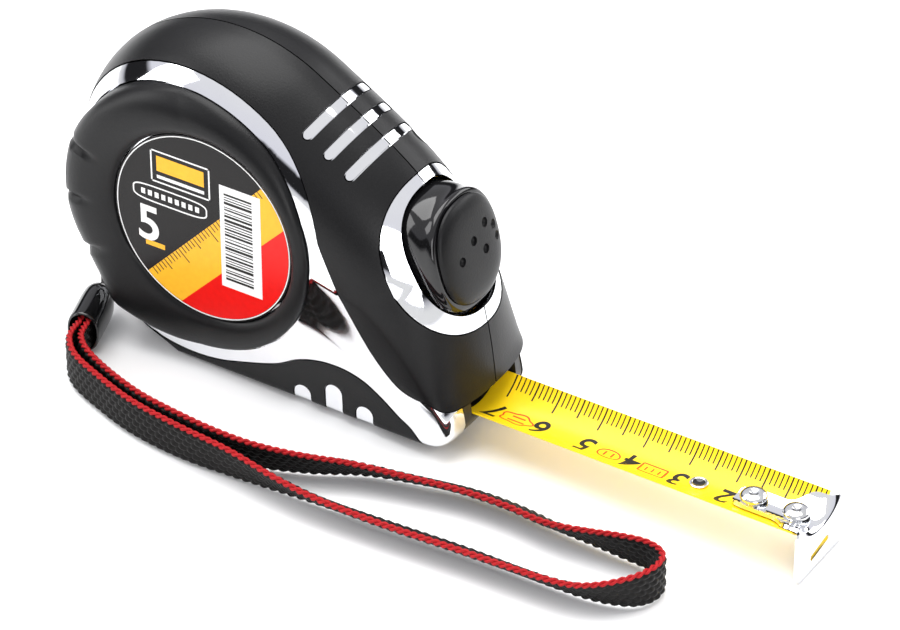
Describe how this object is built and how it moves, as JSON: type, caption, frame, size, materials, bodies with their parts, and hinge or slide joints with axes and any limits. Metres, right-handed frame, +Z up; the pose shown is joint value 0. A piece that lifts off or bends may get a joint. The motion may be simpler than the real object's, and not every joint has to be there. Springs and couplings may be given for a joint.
{
  "type": "tape measure",
  "caption": "Pocket tape measure with a two-part case, rocking blade lock, concave steel blade, sliding end hook and wrist strap.",
  "frame": {"origin": "middle of the case's flat base, on the joint between the two halves", "axes": "+X along the blade towards the hook, +Z up, +Y towards the belt-clip side"},
  "size_m": [0.1634, 0.0672, 0.0736],
  "materials": {
    "plated_case": "bright plated plastic",
    "black_skin": "matt soft-touch",
    "black_gloss": "glossy",
    "dark_plastic": "satin",
    "label_print": "printed film",
    "blade_paint": "yellow enamel with a clear coat",
    "bright_steel": "polished plate",
    "plain_steel": "zinc plated",
    "blue_steel": "tempered spring steel",
    "webbing": "woven with a red edge cord",
    "cord": "braided"
  },
  "bodies": {
    "case": {"shell_left": "plated_case", "shell_right": "plated_case", "grip_left": "black_skin", "grip_right": "black_skin", "side_ring_left": "black_skin", "side_ring_right": "black_skin", "label_left": "label_print", "label_right": "label_print", "mouth_guide": "dark_plastic", "lock_pin": "plain_steel", "centre_post": "dark_plastic", "mainspring": "blue_steel", "case_screw_1": "plain_steel", "case_screw_2": "plain_steel", "case_screw_3": "plain_steel", "belt_clip": "plain_steel", "belt_clip_screw": "plain_steel", "strap_clip": "black_gloss", "strap_string": "cord", "wrist_strap": "webbing"},
    "blade": {"blade": "blade_paint", "hook_rivet_inner": "bright_steel", "hook_rivet_outer": "bright_steel", "blade_rivet": "bright_steel"},
    "hook": {"end_hook": "bright_steel"},
    "drum": {"spool": "dark_plastic", "blade_coil": "blade_paint"},
    "lock": {"lock_button": "black_gloss", "thumb_pad": "black_skin", "brake_shoe": "dark_plastic"}
  },
  "joints": [
    {"name": "blade_slide", "type": "slide", "parent": "case", "child": "blade", "axis": [1, 0, 0], "range_m": [-0.053, 0]},
    {"name": "hook_slide", "type": "slide", "parent": "blade", "child": "hook", "axis": [1, 0, 0], "range_m": [0, 0.001]},
    {"name": "drum_spin", "type": "hinge", "parent": "case", "child": "drum", "pos_m": [-0.022, 0, 0.0339], "axis": [0, 1, 0], "range_deg": [-1, 127]},
    {"name": "lock_rock", "type": "hinge", "parent": "case", "child": "lock", "pos_m": [0.01852, 0, 0.033], "axis": [0, 1, 0], "range_deg": [-4.5, 0]}
  ],
  "couplings": [
    {"joint": "drum_spin", "follows": "blade_slide", "rad_per_m": -41.49}
  ]
}
